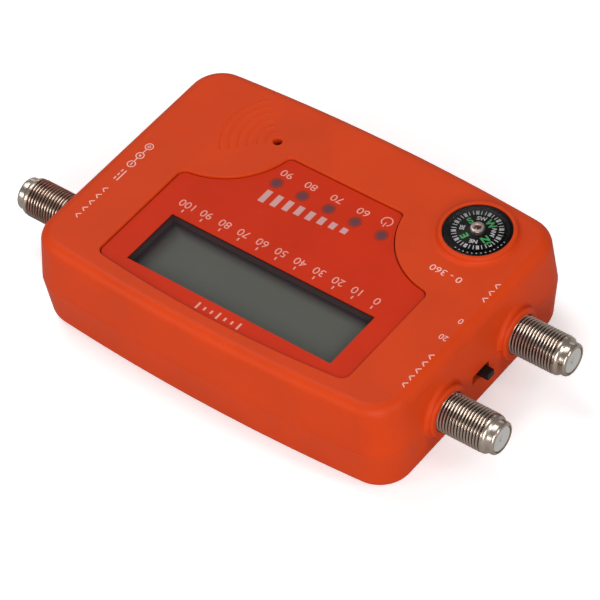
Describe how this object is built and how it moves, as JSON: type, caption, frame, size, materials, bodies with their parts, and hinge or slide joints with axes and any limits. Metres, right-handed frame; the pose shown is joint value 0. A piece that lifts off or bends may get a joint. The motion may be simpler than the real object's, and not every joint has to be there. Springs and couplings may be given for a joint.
{
  "type": "satellite signal meter",
  "caption": "Hand-held satellite signal meter: orange two-part case, liquid-crystal display, signal lamps, button compass, threaded coaxial sockets, slide switch and round power socket.",
  "frame": {"origin": "middle of the case on its underside", "axes": "+X to the right as the face is read, +Y up the face, +Z out of the face"},
  "size_m": [0.135, 0.0738, 0.0298],
  "materials": {
    "case": "satin moulded orange",
    "label": "printed film",
    "window": "clear",
    "bezel": "dark",
    "display": "grey liquid-crystal cell",
    "diffuser": "milky",
    "contact_rubber": "matte",
    "lamp": "smoky violet",
    "black_plastic": "black",
    "compass_cup": "black",
    "compass_card": "black with marks",
    "compass_dome": "clear",
    "compass_cap": "bright, slightly pink",
    "nickel": "nickel plate",
    "steel": "plain",
    "contact": "gold wash",
    "spring": "bronze strip",
    "insulator": "white",
    "phenolic": "brown",
    "board": "green lacquer",
    "ferrite": "grey",
    "capacitor": "blue sleeve"
  },
  "bodies": {
    "case": {"upper_housing": "case", "lower_housing": "case", "case_screw_1": "steel", "case_screw_2": "steel", "case_screw_3": "steel", "case_screw_4": "steel", "face_label": "label", "display_window": "window", "display_bezel": "bezel", "display_glass": "display", "display_backlight": "diffuser", "contact_strip_lower": "contact_rubber", "contact_strip_upper": "contact_rubber", "lamp_90": "lamp", "lamp_80": "lamp", "lamp_70": "lamp", "lamp_60": "lamp", "lamp_power": "lamp", "sounder": "black_plastic", "compass_cup": "compass_cup", "compass_needle": "steel", "compass_dome": "compass_dome", "antenna_socket_barrel": "nickel", "antenna_socket_insulator": "insulator", "antenna_socket_contact": "contact", "satellite_socket_barrel": "nickel", "satellite_socket_insulator": "insulator", "satellite_socket_contact": "contact", "receiver_socket_barrel": "nickel", "receiver_socket_insulator": "insulator", "receiver_socket_contact": "contact", "switch_frame": "steel", "switch_base": "phenolic", "power_socket_body": "black_plastic", "power_socket_pin": "nickel", "power_socket_spring": "spring", "main_board": "board", "display_board": "board", "main_board_screw_1": "steel", "main_board_screw_2": "steel", "main_board_screw_3": "steel", "main_board_screw_4": "steel", "display_board_screw_1": "steel", "display_board_screw_2": "steel", "display_board_screw_3": "steel", "display_board_screw_4": "steel", "board_pin_strip": "black_plastic", "shield_can": "steel", "tuner_chip": "black_plastic", "microcontroller": "black_plastic", "crystal": "steel", "voltage_regulator": "black_plastic", "choke_coil": "ferrite", "input_capacitor": "capacitor", "output_capacitor": "capacitor", "level_trimmer": "insulator"},
    "compass_card": {"compass_dial": "compass_card", "compass_dial_cap": "compass_cap", "compass_magnet": "steel"},
    "slider": {"switch_slider": "black_plastic"}
  },
  "joints": [
    {"name": "compass_spin", "type": "hinge", "parent": "case", "child": "compass_card", "pos_m": [-0.0346, -0.022, 0.0275], "axis": [0, 0, 1], "continuous": true},
    {"name": "attenuator_slide", "type": "slide", "parent": "case", "child": "slider", "axis": [0, 1, 0], "range_m": [0, 0.0017]}
  ]
}
